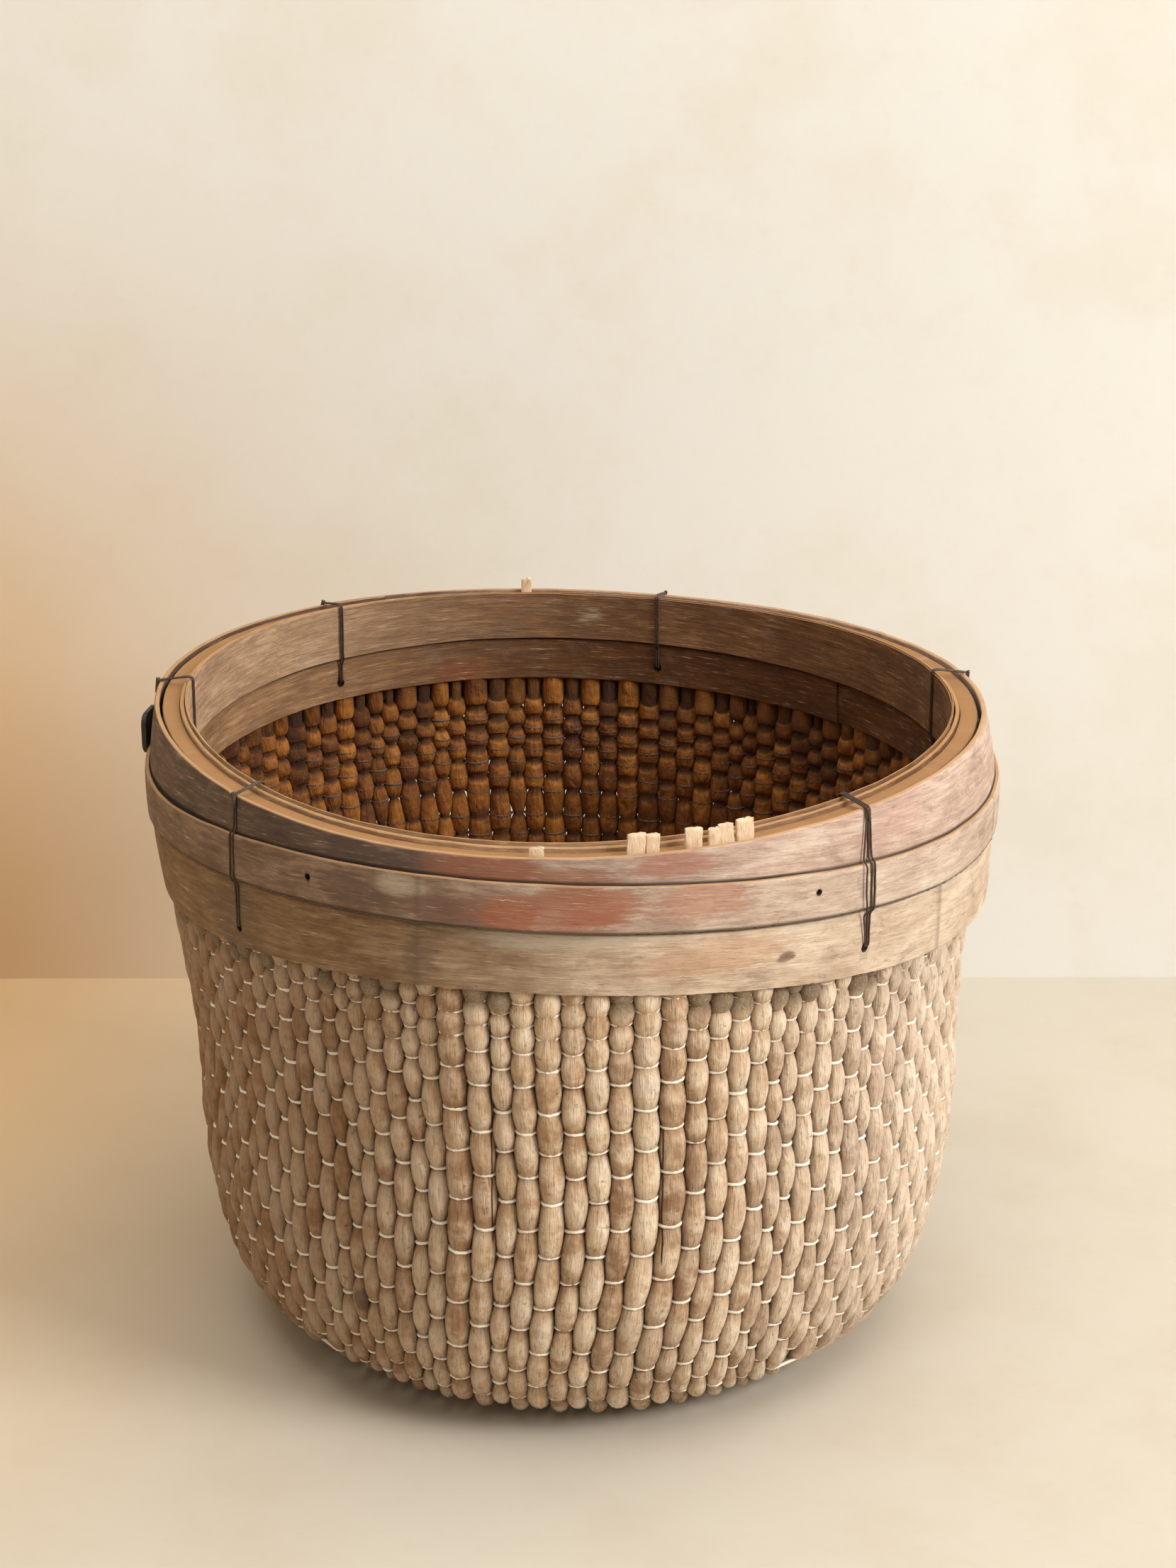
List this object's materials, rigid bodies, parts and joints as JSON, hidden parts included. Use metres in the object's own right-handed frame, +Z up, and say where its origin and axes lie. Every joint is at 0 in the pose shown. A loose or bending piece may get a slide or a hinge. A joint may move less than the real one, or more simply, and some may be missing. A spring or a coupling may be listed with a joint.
{
  "type": "basket",
  "caption": "Round open basket of beaded willow rods stitched with white thread, bound at the rim by bent bamboo strips and wire ties.",
  "frame": {"origin": "on the ground, under the middle of the whole basket's extent", "axes": "+Z up through the open mouth; -Y towards the front, the side that faces the camera; +X to the basket's right as seen from the front"},
  "size_m": [0.3929, 0.3844, 0.3065],
  "materials": {
    "rods": "dry peeled willow, satin",
    "thread": "matt twisted twine",
    "strips": "weathered split bamboo, matt",
    "inner_strips": "dark aged split bamboo, matt",
    "filler": "honey coloured split lath, matt",
    "wire": "dull annealed iron wire",
    "plate": "dark worn leather, matt",
    "slips": "fresh split cane, matt"
  },
  "bodies": {
    "root": {"long_rods_left": "rods", "long_rods_middle": "rods", "long_rods_right": "rods", "right_side_rods_front": "rods", "right_side_rods_middle": "rods", "right_side_rods_back": "rods", "left_side_rods_front": "rods", "left_side_rods_middle": "rods", "left_side_rods_back": "rods", "rim_threads": "thread", "upper_threads": "thread", "middle_threads": "thread", "lower_threads": "thread", "floor_threads": "thread", "outer_strip_top": "strips", "outer_strip_middle": "strips", "outer_strip_bottom": "strips", "inner_strip_top": "inner_strips", "inner_strip_bottom": "inner_strips", "inner_lining_ply": "inner_strips", "rim_filler": "filler", "wire_tie_front_left": "wire", "wire_tie_front_right": "wire", "wire_tie_right_back": "wire", "wire_tie_back": "wire", "wire_tie_back_left": "wire", "wire_tie_left": "wire", "rim_plate": "plate", "rim_slips": "slips"}
  },
  "joints": []
}
